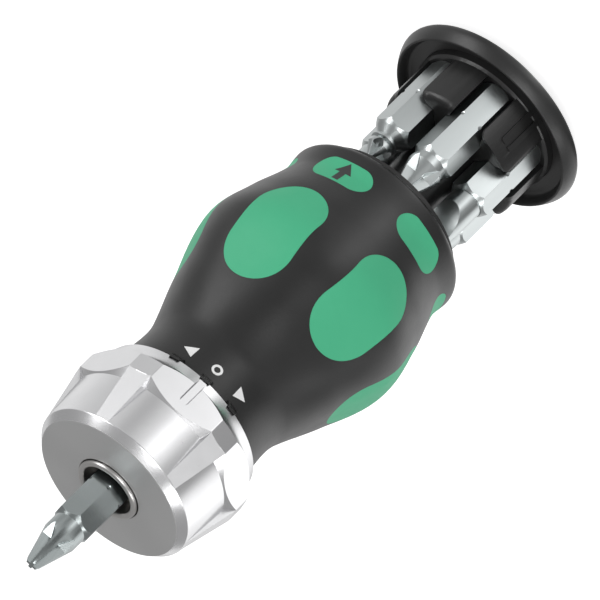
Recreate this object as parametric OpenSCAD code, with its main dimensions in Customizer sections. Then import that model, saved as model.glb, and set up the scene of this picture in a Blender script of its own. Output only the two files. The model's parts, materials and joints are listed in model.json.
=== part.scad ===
// Stubby ratcheting screwdriver with a bit magazine that pulls out of its handle.
// It stands on its end cap with the bit upwards: Z is the tool's axis, and the origin is
// the middle of the cap's end face. The index mark of the ring points along -Y.

/* [Handle] */
// Length of the handle, without the cap and the ring
handle_l = 50; // [43:0.5:60]
// Radius of the belly, the thickest part
belly_r = 19.95; // [18.5:0.05:24]
// Height of the belly above the handle's rear end
belly_z = 22; // [20:0.5:24]
// Radius of the waist behind the belly
waist_r = 16.1; // [16:0.05:18]
// Radius of the bead at the rear end
bead_r = 16.3; // [16:0.05:18]
// Radius of the neck behind the ring
neck_r = 12.9; // [12.6:0.05:15]
// Radius of the handle's front end, at the ring
front_r = 13.4; // [12.6:0.05:15]
// Thickness of the soft skin over the core
skin_t = 2; // [1.4:0.1:2]

/* [Grip pads] */
// Width of a belly pad round the handle
belly_pad_w = 12; // [8:0.5:14]
// Length of a belly pad along the handle
belly_pad_l = 19; // [15:0.5:20]
// Width of a rear pad round the handle
rear_pad_w = 10.5; // [7:0.5:12]
// Length of a rear pad along the handle
rear_pad_l = 5; // [3:0.5:6]

/* [Selector ring] */
// Length of the ring
ring_l = 17.3; // [16.5:0.1:22]
// Radius of the flat front face
ring_face_r = 13.2; // [12:0.1:13.6]
// Radius of the flutes at their front end
flute_front_r = 14.4; // [14:0.1:15]
// Radius of the flutes at their rear end
flute_rear_r = 15.1; // [14.4:0.1:15.1]
// Distance from the axis to the six flats of the collar
collar_flat_r = 15.2; // [15:0.1:16]
// Distance from the axis to the narrow facets that cut the collar's corners
collar_corner_r = 16.3; // [15.8:0.1:17]
// Length of the collar, without its rear chamfer
collar_l = 5.3; // [4.5:0.1:7]
// Width of a land between two flutes, at the front
land_front_w = 2.4; // [1.5:0.1:4]
// Width of a land at the collar
land_rear_w = 4.2; // [2.5:0.1:6]
// Turn of the ring from locked to either ratchet direction, in degrees
selector_turn = 24; // [18:1:26]

/* [Ratchet] */
// Radius over the tooth tips
gear_tip_r = 8; // [7.6:0.1:8]
// Depth of the teeth
tooth_h = 1.3; // [1:0.05:1.3]
// Height of the gear and the pawls
gear_h = 5.5; // [4.5:0.1:6]
// Swing of a pawl to either side of its middle place, in degrees
pawl_swing = 6; // [5:0.5:6]
// Radius of the housing that holds the gear
housing_r = 12.4; // [12.2:0.1:12.4]

/* [Bits] */
// Width across the flats of a bit
bit_af = 6.35; // [6:0.05:6.35]
// Length of a bit
bit_l = 25; // [22:0.5:30]
// How far the bit stands out of the ring
bit_out = 18.7; // [14:0.1:20]
// Turn of the chuck from the index mark, in degrees
socket_turn = -3.5; // [-30:0.5:30]

/* [Magazine] */
// Height of the end cap up to its rim
cap_h = 6; // [5.5:0.1:9]
// Largest radius of the end cap
cap_r = 17.4; // [17:0.1:21]
// Radius of the cap's rim
rim_r = 16; // [15.8:0.1:17]
// Open gap between the cap's rim and the handle
magazine_gap = 24.7; // [20:0.1:26]
// Distance from the axis to the middle of a stored bit
pitch_r = 9; // [8.8:0.05:9.1]
// Height of the clip fingers above the cap's rim
finger_h = 8.7; // [6:0.1:12]
// Radius of the middle column
column_r = 5.2; // [5:0.05:5.3]

/* [Hidden] */
$fn = 96;

// Clearances
press_gap = 0.01;
run_gap = 0.05;
slide_gap = 0.1;
loose_gap = 0.2;
inlay_gap = 0.02;
slot_gap = 0.12;

// Counts that the nodes and the chuck's six places fix
pad_count = 6;
gear_teeth = 24;

// Edges and helpers shared by several pieces
edge = 0.4;
over = 1;
hex_turn = 30;
mark_side = -90;
pad_pitch = 360 / pad_count;

// Heights of the magazine, from the cap upwards
cap_floor_t = 2.2;
groove_depth = 1.6;
rim_overlap = 0.5;
travel = magazine_gap + rim_overlap;
handle_rear_z = cap_h + magazine_gap;
column_top_z = cap_h + bit_l + 4;
neck_h = 3.4;
shoulder_z = column_top_z - neck_h;

// Guide rod and its piston
rod_af = 4.5;
rod_flange_t = 1.2;
rod_flange_r = 4.2;
rod_thread_r = 2.2;
piston_r = 3.3;
piston_h = 1.5;
piston_bore_r = piston_r + 0.3;
rod_end_z = shoulder_z - run_gap;
rod_flange_z = column_top_z + travel + slide_gap;
screw_head_h = 1.2;
screw_head_r = 2.4;
screw_socket_af = 1.5;
screw_socket_depth = 0.8;
screw_shank_r = 1.25;
screw_hole_l = 8;
o_ring_r = 2.95;
o_ring_wire_r = 0.5;

// Heights of the handle
partition_z = rod_flange_z + rod_flange_t;
partition_t = 3.5;
clip_room_h = 2.3;
clip_room_r = 6.5;
stem_z = partition_z + partition_t + clip_room_h;
handle_front_z = handle_rear_z + handle_l;
handle_edge_h = 1.5;
lip_h = 1.2;
lip_r = 14.25;
cavity_gap = 0.6;
carrier_r = pitch_r + bit_af / 2 + 0.425;
cavity_r = carrier_r + cavity_gap;
core_rear_r = cavity_r + 0.85;
pad_inner_r = core_rear_r - 2.6;
belly_pad_z = handle_rear_z + belly_z + 1;
rear_pad_z = handle_rear_z + 6.8;

// Heights of the ring and the ratchet
ring_z = handle_front_z + 0.3;
ring_front_z = ring_z + ring_l;
ring_chamfer = 1;
ring_bevel = 1.4;
collar_bevel_l = 1.6;
collar_bevel_w = 1.4;
collar_top_z = ring_z + ring_chamfer + collar_l;
flute_top_z = ring_front_z - ring_bevel;
ring_bore_r = 5.75;
ring_wall_z = ring_front_z - 3.3;
cam_plate_t = 1;
cam_z = ring_wall_z - cam_plate_t;
cover_t = 1.5;
cover_z = cam_z - 0.3 - cover_t;
floor_z = cover_z - gear_h - 2 * 0.15 - loose_gap;
gear_z = floor_z + 0.15;
housing_z = handle_front_z + slide_gap;
ring_cavity_r = housing_r + loose_gap;
clip_wire_r = 0.4;
clip_z = housing_z + 3.2;
clip_mid_r = (housing_r + ring_cavity_r) / 2;
clip_depth = clip_wire_r + slide_gap;

// Spindle
nose_r = 5.5;
gear_seat_r = 5;
gear_flat = 4.6;
journal_r = 4.2;
nose_top_z = ring_front_z - 1;
bit_tip_z = ring_front_z + bit_out;
bit_seat_z = bit_tip_z - bit_l;
magnet_r = 2.8;
magnet_h = 3;
spindle_bottom_z = stem_z - 2;
spindle_clip_t = 0.8;
spindle_clip_r = 5.6;
spindle_groove_r = 3.4;
funnel_r = 4.6;
funnel_h = 1.4;
spindle_clip_z = stem_z - slide_gap - spindle_clip_t;
stem_af = 17;

// Gear and pawls. A pawl is drawn round its pivot with its tip along +X and the gear on the -Y side
gear_root_r = gear_tip_r - tooth_h;
gear_room_r = gear_tip_r + 0.3;
pocket_r = housing_r - 0.7;
pivot_r = gear_tip_r + 1.9;
pivot_angle = 60;
tip_angle = 22.5;
tip_r = gear_tip_r - 0.45;
pivot = polar(pivot_r, pivot_angle);
tip = polar(tip_r, tip_angle);
pawl_l = norm(tip - pivot);
pawl_turn = atan2(tip[1] - pivot[1], tip[0] - pivot[0]);
pivot_pin_r = 0.7;
boss_r = 1.6;
pawl_tip_half = 0.08;
pawl_tooth_half = 0.74;
pawl_back = 2.6;
cam_pin_r = 0.55;
cam_pin = [pawl_l - 1.35, 1.8];
cam_ratio = pawl_swing / selector_turn;
spring_t = 0.3;
spring_h = 3.6;
spring_z = gear_z + (gear_h - spring_h) / 2;

// Detent
hump_r = 0.9;
hump_mid_r = housing_r - 0.35;
hump_half = 7.5;
detent_strip_r = housing_r - 0.45;
detent_strip_t = 0.4;
detent_half = 20;

// What the ring and the cam plate share
tab_angles = [90, 210, 330];
tab_w = 3;
tab_h = 0.5;
click_room = 1.1;
nib_angle = 8;
nib_h = 0.4;
nib_reach = 1.5;
detent_tab = 1.2;
pin_seat = 1.6;
spring_hook = [6.2, 4];
spring_bend = [3.1, 3.15];
spring_bend_r = 0.4;
spring_leg_x = 5.8;
spring_leg_y = pawl_back - 0.1;

// Cover screws
cover_screw_r = 10.4;
cover_screw_angles = [-30, 90, 210];
screw_r = 0.9;
screw_top_r = 1.8;
screw_l = 5.5;
screw_head = 1;
cover_socket_af = 1.3;
cover_socket_depth = 0.6;

// End cap and magazine
carrier_disc_r = carrier_r + 0.4;
recess_r = rim_r - 1.05;
rim_rise = 0.6;
cap_face_r = 9;
cap_edge_r = cap_r - 0.7;
cap_edge_z = 3.1;
cap_wide_z = 4;
snap_z = 3.3;
finger_gap = 6.4;
finger_round = 1.2;
key_w = 8;
key_l = finger_h + 0.4;
key_t = 0.45;
key_round = 1.6;
rib_w = 2.8;
rib_l = 6.2;
rib_groove_w = 0.9;

// Bit tips
bit_shank_r = 2.9;
notch_z = 8;
notch_r = 0.68;
scoop_r = 9;
short_by = 4;
neck_collar_r = 2.35;
neck_groove_r = 1.85;

// Places of the stored bits round the magazine, with one left empty for the bit in the chuck
slot_angles = [for (i = [0:5]) mark_side + i * 60];
small_cross_slot = 1;
large_cross_slot = 0;
slotted_slot = 5;
large_star_slot = 4;
small_star_slot = 2;

// A curve through points [z, r] with a common slope at each point
function slope(p, i) =
    let (a = max(i - 1, 0), b = min(i + 1, len(p) - 1))
    (p[b][1] - p[a][1]) / (p[b][0] - p[a][0]);

function between(p, i, t) =
    let (
        dz = p[i + 1][0] - p[i][0],
        r = p[i][1] * (2 * t * t * t - 3 * t * t + 1)
            + p[i + 1][1] * (3 * t * t - 2 * t * t * t)
            + dz * slope(p, i) * (t * t * t - 2 * t * t + t)
            + dz * slope(p, i + 1) * (t * t * t - t * t)
    )
    [r, p[i][0] + dz * t];

function curve(p, steps) = concat(
    [for (i = [0:len(p) - 2]) for (s = [0:steps - 1]) between(p, i, s / steps)],
    [[p[len(p) - 1][1], p[len(p) - 1][0]]]
);

// Outline of the handle from the rear edge to the front end, as [r, z].
// Its shoulder keeps its place over the partition.
function rear_edge(steps) = [
    for (s = [0:steps - 1]) let (a = 90 * s / steps) [
        lip_r + (bead_r - lip_r) * sin(a),
        handle_rear_z + lip_h + handle_edge_h * (1 - cos(a))
    ]
];

function grip_outline(edge_steps = 5, steps = 5) = concat(
    rear_edge(edge_steps),
    curve([
        [handle_rear_z + lip_h + handle_edge_h, bead_r],
        [handle_rear_z + 6.6, waist_r],
        [handle_rear_z + 14, (waist_r + belly_r) / 2 + 0.2],
        [handle_rear_z + belly_z, belly_r],
        [partition_z + 1, (belly_r + neck_r) / 2 + 0.5],
        [partition_z + 9.9, neck_r + 0.5],
        [max(handle_front_z - 6, partition_z + 11.2), neck_r],
        [handle_front_z, front_r]
    ], steps)
);

// The core lies under the skin, and keeps a wall round the magazine's room at the rear
function core_outline(gap = 0) = [
    for (p = grip_outline(1, 2))
        [max(p[0] - skin_t, p[1] < handle_rear_z + belly_z ? core_rear_r : 0) + gap, p[1]]
];

function reversed(p) = [for (i = [len(p) - 1:-1:0]) p[i]];

function polar(r, a) = r * [cos(a), sin(a)];

function turned(p, a) = [p[0] * cos(a) - p[1] * sin(a), p[0] * sin(a) + p[1] * cos(a)];

// Where the right pawl's cam pin stands when the pawl swings by an angle
function cam_pin_at(swing) = pivot + turned(cam_pin, pawl_turn + swing);

// A slot along a path, wider on its outer side
function slot_outline(path, inner, outer) = concat(
    [for (p = path) p * (1 - inner / norm(p))],
    [for (i = [len(path) - 1:-1:0]) path[i] * (1 + outer / norm(path[i]))]
);

module bar(w, h) {
    d = min(w, h);
    square([w > h ? w - h : w, h > w ? h - w : h], center = true);
    for (s = [-1, 1])
        translate([s * (w - d) / 2, s * (h - d) / 2]) circle(d = d);
}

// A rectangle round its middle with round corners
module rounded(w, h, r) {
    square([w - 2 * r, h], center = true);
    square([w, h - 2 * r], center = true);
    for (x = [-1, 1], y = [-1, 1])
        translate([x * (w / 2 - r), y * (h / 2 - r)]) circle(r = r);
}

module hexagon(af) {
    circle(r = af / 2 / cos(30), $fn = 6);
}

module wedge(a0, a1) {
    far = 40;
    polygon(concat([[0, 0]], [for (i = [0:4]) let (a = a0 + (a1 - a0) * i / 4) polar(far, a)]));
}

module sector(r0, r1, a0, a1) {
    intersection() {
        difference() {
            circle(r = r1);
            circle(r = r0);
        }
        wedge(a0, a1);
    }
}

// What follows is extruded outwards along the radius at an angle, with its Y along the axis
module outward(a, r, h) {
    rotate([0, 0, a]) translate([r, 0, 0]) rotate([90, 0, 90]) linear_extrude(h) children();
}

// Handle

module belly_pad_space(i, grow) {
    outward(mark_side + (i + 0.5) * pad_pitch, pad_inner_r, belly_r)
        translate([0, belly_pad_z]) bar(belly_pad_w + grow, belly_pad_l + grow);
}

module rear_pad_space(i, grow) {
    outward(mark_side + (i + 0.5) * pad_pitch, pad_inner_r, belly_r)
        translate([0, rear_pad_z]) bar(rear_pad_w + grow, rear_pad_l + grow);
}

module skin_shell() {
    rotate_extrude() polygon(concat(grip_outline(), reversed(core_outline(inlay_gap))));
}

// A nib on the handle's front edge that shows a place of the ring
module nib(a) {
    rotate([0, 0, a - nib_angle / 2]) rotate_extrude(angle = nib_angle)
        polygon([
            [front_r - 2 * nib_h, handle_front_z - 1],
            [front_r + nib_h, handle_front_z - 0.8],
            [front_r + nib_reach, ring_z + 0.5],
            [front_r + nib_reach - 0.2, ring_z + 0.5],
            [front_r + nib_h, handle_front_z + 0.1],
            [front_r - nib_h, handle_front_z + 0.1],
            [front_r - 2 * nib_h, handle_front_z - 0.3]
        ]);
}

module soft_grip() color([0.17, 0.17, 0.17]) {
    difference() {
        skin_shell();
        for (i = [0:pad_count - 1]) {
            belly_pad_space(i, 2 * inlay_gap);
            rear_pad_space(i, 2 * inlay_gap);
        }
    }
    for (a = [-1:1]) nib(mark_side + a * selector_turn);
}

module belly_pad(i) color([0.29, 0.7, 0.53]) intersection() {
    skin_shell();
    belly_pad_space(i, 0);
}

module rear_pad(i) color([0.29, 0.7, 0.53]) intersection() {
    skin_shell();
    rear_pad_space(i, 0);
}

module handle_core() color([0.13, 0.13, 0.13]) difference() {
    rotate_extrude() polygon(concat(
        [[0, handle_rear_z], [core_rear_r, handle_rear_z]],
        core_outline(),
        [[0, handle_front_z]]
    ));
    // the magazine's room, with a bevelled mouth
    translate([0, 0, handle_rear_z - over])
        cylinder(r = cavity_r, h = partition_z - handle_rear_z + over);
    translate([0, 0, handle_rear_z - 0.01]) cylinder(r1 = cavity_r + edge, r2 = cavity_r, h = edge);
    // the rod's hole, the room of the spindle's clip and the seat of the housing's stem
    translate([0, 0, partition_z - over])
        cylinder(r = rod_thread_r + press_gap, h = partition_t + over - 0.3);
    translate([0, 0, stem_z - clip_room_h]) cylinder(r = clip_room_r, h = clip_room_h + over);
    translate([0, 0, stem_z]) linear_extrude(handle_l) hexagon(stem_af + 2 * press_gap);
}

// Ring with flutes, lands and a hexagonal collar

module land(a) {
    rotate([0, 0, a]) intersection() {
        rotate([90, 0, 0]) linear_extrude(2 * land_rear_w, center = true)
            polygon([
                [ring_face_r, collar_top_z - over],
                [collar_corner_r, collar_top_z - over],
                [collar_corner_r, collar_top_z],
                [flute_front_r, flute_top_z],
                [ring_face_r, flute_top_z]
            ]);
        rotate([90, 0, 90]) linear_extrude(2 * collar_corner_r)
            polygon([
                [-land_rear_w / 2, collar_top_z - over],
                [land_rear_w / 2, collar_top_z - over],
                [land_rear_w / 2, collar_top_z],
                [land_front_w / 2, flute_top_z],
                [-land_front_w / 2, flute_top_z],
                [-land_rear_w / 2, collar_top_z]
            ]);
    }
}

// The collar is a hexagon with cut corners, turned to a cone at both ends
module collar() {
    rear_r = collar_flat_r - 1.3;
    wide_r = collar_corner_r + collar_bevel_w;
    intersection() {
        translate([0, 0, ring_z]) linear_extrude(2 * collar_l) intersection() {
            hexagon(2 * collar_flat_r);
            rotate(hex_turn) hexagon(2 * collar_corner_r);
        }
        rotate_extrude() polygon([
            [0, ring_z],
            [rear_r, ring_z],
            [wide_r, ring_z + (wide_r - rear_r) / 1.3],
            [wide_r, collar_top_z - collar_bevel_l],
            [collar_corner_r - collar_bevel_w, collar_top_z + collar_bevel_l],
            [0, collar_top_z + collar_bevel_l]
        ]);
    }
}

module ring_body() {
    collar();
    rotate_extrude() polygon([
        [0, collar_top_z - over],
        [flute_rear_r, collar_top_z - over],
        [flute_rear_r, collar_top_z],
        [flute_front_r, flute_top_z],
        [ring_face_r, ring_front_z],
        [0, ring_front_z]
    ]);
    for (a = [0:60:300]) land(a);
}

module index_groove() {
    groove_w = 1.5;
    groove_l = 4;
    groove_d = 0.3;
    outward(mark_side, collar_flat_r - groove_d, over + groove_d)
        translate([0, ring_z + groove_l / 2 + 0.5]) bar(groove_w, groove_l + 1);
}

module selector_ring() color([0.78, 0.78, 0.79]) difference() {
    ring_body();
    translate([0, 0, ring_z - over]) cylinder(r = ring_cavity_r, h = ring_wall_z - ring_z + over);
    translate([0, 0, ring_wall_z - over]) cylinder(r = ring_bore_r, h = ring_l);
    translate([0, 0, ring_front_z - edge])
        cylinder(r1 = ring_bore_r, r2 = ring_bore_r + edge + 0.01, h = edge + 0.01);
    index_groove();
    // the wire clip's groove
    translate([0, 0, clip_z - clip_depth]) linear_extrude(2 * clip_depth)
        circle(r = ring_cavity_r + clip_depth);
    // three notches for the detent, and three for the cam plate's tabs
    for (s = [-1:1])
        rotate([0, 0, mark_side + s * selector_turn])
            translate([hump_mid_r, 0, spring_z - 0.3])
                cylinder(r = hump_r + slide_gap, h = spring_h + 0.6);
    for (a = tab_angles)
        rotate([0, 0, a]) translate([ring_cavity_r - over, -tab_w / 2 - run_gap, cam_z - run_gap])
            cube([over + tab_h + run_gap, tab_w + 2 * run_gap, cam_plate_t + run_gap]);
}

module cam_slot() {
    reach = selector_turn + 4;
    path = [
        for (i = [0:16]) let (s = -reach + 2 * reach * i / 16)
            turned(cam_pin_at(max(-selector_turn, min(selector_turn, s)) * cam_ratio), -s)
    ];
    polygon(slot_outline(path, cam_pin_r + slide_gap, cam_pin_r + slide_gap + click_room));
}

module cam_plate() color([0.6, 0.6, 0.62])
translate([0, 0, cam_z]) linear_extrude(cam_plate_t) difference() {
    union() {
        circle(r = ring_cavity_r - slide_gap);
        for (a = tab_angles)
            rotate(a) translate([0, -tab_w / 2]) square([ring_cavity_r + tab_h, tab_w]);
    }
    circle(r = nose_r + loose_gap);
    cam_slot();
    mirror([1, 0]) cam_slot();
}

module ring_clip() color([0.55, 0.55, 0.58])
    rotate([0, 0, 105]) rotate_extrude(angle = 330)
        translate([clip_mid_r, clip_z]) circle(r = clip_wire_r, $fn = 24);

// How far the detent's leaf stands out at an angle from its middle
function hump_at(a) =
    abs(a) < hump_half ? (hump_mid_r + hump_r - detent_strip_r) * pow(cos(90 * a / hump_half), 2) : 0;

module detent_spring() color([0.5, 0.5, 0.54]) {
    tab_angle = atan2(detent_strip_t, detent_strip_r);
    end = detent_half + tab_angle / 2;
    steps = 24;
    rotate([0, 0, mark_side]) translate([0, 0, spring_z]) linear_extrude(spring_h) polygon(concat(
        [for (i = [-steps:steps]) let (a = end * i / steps) polar(detent_strip_r + hump_at(a), a)],
        [polar(detent_strip_r - detent_tab, end), polar(detent_strip_r - detent_tab, end - tab_angle)],
        [for (i = [steps:-1:-steps]) let (a = (end - tab_angle) * i / steps)
            polar(detent_strip_r - detent_strip_t + hump_at(a), a)],
        [polar(detent_strip_r - detent_tab, tab_angle - end), polar(detent_strip_r - detent_tab, -end)]
    ));
}

// Ratchet housing, fixed in the core

module ratchet_housing() color([0.45, 0.46, 0.48]) difference() {
    union() {
        translate([0, 0, housing_z]) cylinder(r = housing_r, h = cover_z - housing_z);
        translate([0, 0, stem_z]) linear_extrude(housing_z - stem_z + over) hexagon(stem_af);
    }
    translate([0, 0, stem_z - over]) cylinder(r = journal_r + run_gap, h = cover_z);
    translate([0, 0, floor_z]) cylinder(r = gear_room_r, h = cover_z);
    translate([0, 0, floor_z]) linear_extrude(cover_z) {
        pawl_room();
        mirror([1, 0]) pawl_room();
    }
    for (m = [0, 1]) mirror([m, 0, 0])
        translate([pivot[0], pivot[1], floor_z - pin_seat])
            cylinder(r = pivot_pin_r + press_gap, h = cover_z);
    // the wire clip's groove
    translate([0, 0, clip_z - clip_depth]) linear_extrude(2 * clip_depth) difference() {
        circle(r = housing_r + over);
        circle(r = clip_mid_r - clip_wire_r - slide_gap);
    }
    // the detent's pocket
    rotate([0, 0, mark_side]) translate([0, 0, spring_z - loose_gap])
        linear_extrude(spring_h + 2 * loose_gap) {
            sector(
                detent_strip_r - detent_strip_t - loose_gap,
                2 * housing_r,
                -detent_half - 3,
                detent_half + 3
            );
            for (s = [-1, 1])
                rotate(s * detent_half) translate([detent_strip_r - detent_tab - slide_gap, -0.3])
                    square([detent_tab, 0.6]);
        }
    for (a = cover_screw_angles)
        rotate([0, 0, a]) translate([cover_screw_r, 0, cover_z + cover_t - screw_l - 0.3])
            cylinder(r = screw_r + press_gap, h = screw_l + over);
}

module pawl_room() {
    sector(gear_room_r - over, pocket_r, 8, 72);
    translate(pivot) rotate(pawl_turn) translate([spring_hook[0] - slide_gap, spring_hook[1] - over])
        square([spring_t + 2 * slide_gap, 1.6]);
}

module cover_plate() color([0.62, 0.63, 0.65]) difference() {
    translate([0, 0, cover_z]) cylinder(r = housing_r - slide_gap, h = cover_t);
    translate([0, 0, cover_z - over]) cylinder(r = nose_r + run_gap, h = cover_t + 2 * over);
    for (m = [0, 1]) mirror([m, 0, 0]) {
        translate([pivot[0], pivot[1], cover_z - over])
            cylinder(r = pivot_pin_r + press_gap, h = cover_t + 2 * over);
        for (swing = [-pawl_swing:pawl_swing / 2:pawl_swing]) {
            p = cam_pin_at(swing);
            translate([p[0], p[1], cover_z - over])
                cylinder(r = cam_pin_r + loose_gap, h = cover_t + 2 * over);
        }
    }
    for (a = cover_screw_angles)
        rotate([0, 0, a]) translate([cover_screw_r, 0, cover_z]) {
            translate([0, 0, -over]) cylinder(r = screw_r + run_gap, h = cover_t + 2 * over);
            translate([0, 0, cover_t - screw_head])
                cylinder(r1 = screw_r + run_gap, r2 = screw_top_r + run_gap, h = screw_head + 0.001);
        }
}

module cover_screws() color([0.7, 0.7, 0.72]) for (a = cover_screw_angles)
    rotate([0, 0, a]) translate([cover_screw_r, 0, cover_z + cover_t]) difference() {
        union() {
            translate([0, 0, -screw_l]) cylinder(r = screw_r, h = screw_l);
            translate([0, 0, -screw_head]) cylinder(r1 = screw_r, r2 = screw_top_r, h = screw_head);
        }
        translate([0, 0, -cover_socket_depth]) linear_extrude(over) hexagon(cover_socket_af);
    }

// Pawls, their pins and springs

module pawl_outline() {
    difference() {
        union() {
            circle(r = boss_r);
            polygon([
                [0, edge - boss_r],
                [pawl_l / 2, edge],
                [pawl_l - pawl_tooth_half, tooth_h],
                [pawl_l - pawl_tip_half, 0],
                [pawl_l + pawl_tip_half, 0],
                [pawl_l + pawl_tooth_half, tooth_h],
                [pawl_l + pawl_tooth_half, pawl_back],
                [0, boss_r]
            ]);
        }
        circle(r = pivot_pin_r + run_gap);
    }
}

module pawl() color([0.52, 0.5, 0.46]) translate([pivot[0], pivot[1], 0]) rotate([0, 0, pawl_turn]) {
    translate([0, 0, gear_z]) linear_extrude(gear_h) pawl_outline();
    translate([cam_pin[0], cam_pin[1], gear_z + gear_h - over])
        cylinder(r = cam_pin_r, h = ring_wall_z - loose_gap - gear_z - gear_h + over);
}

module pawl_pin() color([0.7, 0.7, 0.72])
    translate([pivot[0], pivot[1], floor_z - pin_seat + run_gap])
        cylinder(r = pivot_pin_r, h = cover_z + cover_t - floor_z + pin_seat - 2 * run_gap);

module pawl_spring() color([0.6, 0.6, 0.55])
    translate([pivot[0], pivot[1], spring_z]) rotate([0, 0, pawl_turn]) linear_extrude(spring_h) {
        // the leg on the housing's wall, the bend and the leg that presses on the pawl
        polygon([
            [spring_hook[0] + spring_t, spring_hook[1]],
            spring_bend + [0, spring_bend_r],
            spring_bend - [spring_bend_r, 0],
            spring_bend - [0, spring_bend_r],
            [spring_leg_x, spring_leg_y],
            [spring_leg_x, spring_leg_y + spring_t],
            spring_bend + [0.15, -0.11],
            spring_bend,
            spring_bend + [0.15, 0.07],
            [spring_hook[0] + spring_t, spring_hook[1] - spring_t]
        ]);
        translate(spring_hook - [0, spring_t]) square([spring_t, spring_t + 0.5]);
    }

// Spindle with the chuck, and what turns with it

module keyed(r) {
    intersection() {
        circle(r = r);
        square([2 * (r - gear_seat_r + gear_flat), 3 * r], center = true);
    }
}

module ratchet_gear() color([0.58, 0.58, 0.6])
translate([0, 0, gear_z]) linear_extrude(gear_h) difference() {
    pitch = 360 / gear_teeth;
    root_half = 1.7;
    tip_half = 1.1;
    polygon([
        for (i = [0:gear_teeth - 1]) let (a = tip_angle + i * pitch) each [
            polar(gear_root_r, a - root_half),
            polar(gear_root_r, a + root_half),
            polar(gear_tip_r, a + pitch / 2 - tip_half),
            polar(gear_tip_r, a + pitch / 2 + tip_half)
        ]
    ]);
    keyed(gear_seat_r + press_gap);
}

module spindle() color([0.5, 0.5, 0.52]) difference() {
    seat_top_z = gear_z + gear_h;
    union() {
        rotate_extrude() polygon([
            [0, spindle_bottom_z],
            [journal_r - edge, spindle_bottom_z],
            [journal_r, spindle_bottom_z + edge],
            [journal_r, spindle_clip_z - run_gap],
            [spindle_groove_r, spindle_clip_z - run_gap],
            [spindle_groove_r, spindle_clip_z + spindle_clip_t + run_gap],
            [journal_r, spindle_clip_z + spindle_clip_t + run_gap],
            [journal_r, gear_z],
            [0, gear_z]
        ]);
        translate([0, 0, gear_z]) linear_extrude(gear_h) keyed(gear_seat_r);
        rotate_extrude() polygon([
            [0, seat_top_z],
            [nose_r, seat_top_z],
            [nose_r, nose_top_z - edge],
            [nose_r - edge, nose_top_z],
            [0, nose_top_z]
        ]);
    }
    translate([0, 0, bit_seat_z]) rotate([0, 0, hex_turn + socket_turn])
        linear_extrude(bit_l) hexagon(bit_af + 2 * run_gap);
    translate([0, 0, bit_seat_z - magnet_h]) cylinder(r = magnet_r + press_gap, h = magnet_h + over);
    // the funnel at the mouth
    translate([0, 0, nose_top_z - funnel_h])
        cylinder(r1 = funnel_r - 0.5, r2 = funnel_r, h = funnel_h + 0.01);
}

module socket_magnet() color([0.75, 0.75, 0.76])
    translate([0, 0, bit_seat_z - magnet_h]) cylinder(r = magnet_r, h = magnet_h);

module spindle_clip() color([0.4, 0.4, 0.42])
    translate([0, 0, spindle_clip_z]) linear_extrude(spindle_clip_t)
        sector(spindle_groove_r + run_gap, spindle_clip_r, 0, 290);

// Guide rod on which the magazine slides

module guide_rod() color([0.6, 0.6, 0.62]) difference() {
    union() {
        translate([0, 0, rod_end_z])
            linear_extrude(rod_flange_z - rod_end_z + rod_flange_t) hexagon(rod_af);
        translate([0, 0, rod_flange_z]) cylinder(r = rod_flange_r, h = rod_flange_t);
        translate([0, 0, partition_z - 0.01]) cylinder(r = rod_thread_r, h = partition_t - 0.5);
    }
    translate([0, 0, rod_end_z - over]) cylinder(r = screw_shank_r + press_gap, h = screw_hole_l + over);
}

module guide_piston() color([0.68, 0.66, 0.6]) difference() {
    translate([0, 0, rod_end_z - piston_h]) cylinder(r = piston_r, h = piston_h);
    translate([0, 0, rod_end_z - piston_h - over])
        cylinder(r = screw_shank_r + run_gap, h = piston_h + 2 * over);
    rotate_extrude() translate([o_ring_r, rod_end_z - piston_h / 2])
        circle(r = o_ring_wire_r + press_gap, $fn = 24);
}

module friction_ring() color([0.1, 0.1, 0.1])
    rotate_extrude() translate([o_ring_r, rod_end_z - piston_h / 2]) circle(r = o_ring_wire_r, $fn = 24);

module guide_screw() color([0.7, 0.7, 0.72]) difference() {
    head_z = rod_end_z - piston_h - screw_head_h;
    union() {
        translate([0, 0, head_z]) cylinder(r = screw_head_r, h = screw_head_h);
        translate([0, 0, head_z])
            cylinder(r = screw_shank_r, h = screw_head_h + piston_h + screw_hole_l - 1);
    }
    translate([0, 0, head_z - over]) linear_extrude(over + screw_socket_depth) hexagon(screw_socket_af);
}

// Magazine

module magazine_slots() {
    for (a = slot_angles) rotate(a) translate([pitch_r, 0]) {
        rotate(hex_turn) hexagon(bit_af + 2 * slot_gap);
        translate([0, -finger_gap / 2]) square([carrier_r, finger_gap]);
    }
}

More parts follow.
